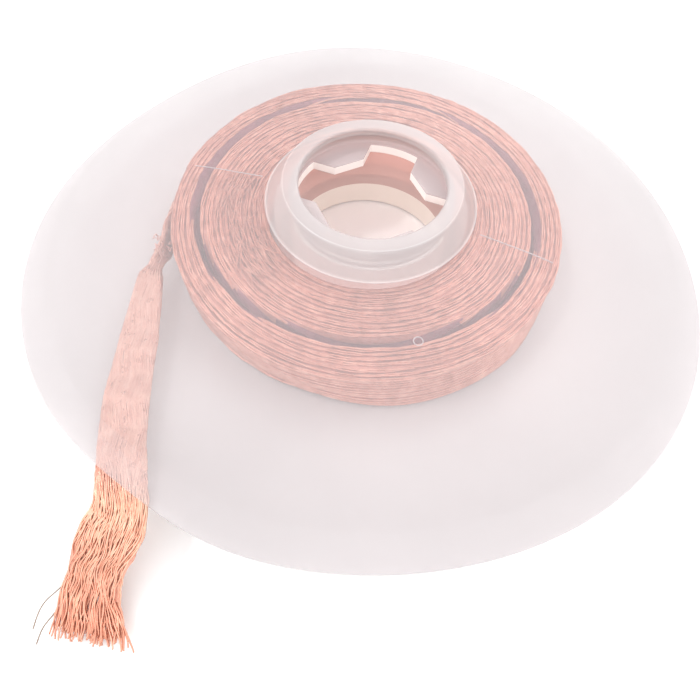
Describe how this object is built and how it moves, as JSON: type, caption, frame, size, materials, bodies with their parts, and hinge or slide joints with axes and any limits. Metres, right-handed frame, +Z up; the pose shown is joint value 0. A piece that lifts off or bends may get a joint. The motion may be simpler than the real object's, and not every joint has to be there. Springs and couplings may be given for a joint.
{
  "type": "desoldering braid",
  "caption": "Flat copper desoldering braid wound on a translucent two-part bobbin, its frayed free end passing out between the rims.",
  "frame": {"origin": "centre of the bobbin's axis on the level surface that its lower boss stands on", "axes": "+Z up along the bobbin's axis; the free end of the braid leaves toward -Y on the -X side"},
  "size_m": [0.056, 0.0605, 0.009],
  "materials": {
    "translucent_plastic": "frosted, see-through milky white plastic",
    "copper_braid": "bright fine copper wires, woven flat"
  },
  "bodies": {
    "root": {"spool_upper_half": "translucent_plastic", "spool_lower_half": "translucent_plastic", "braid_winding": "copper_braid", "braid_tail": "copper_braid"}
  },
  "joints": []
}
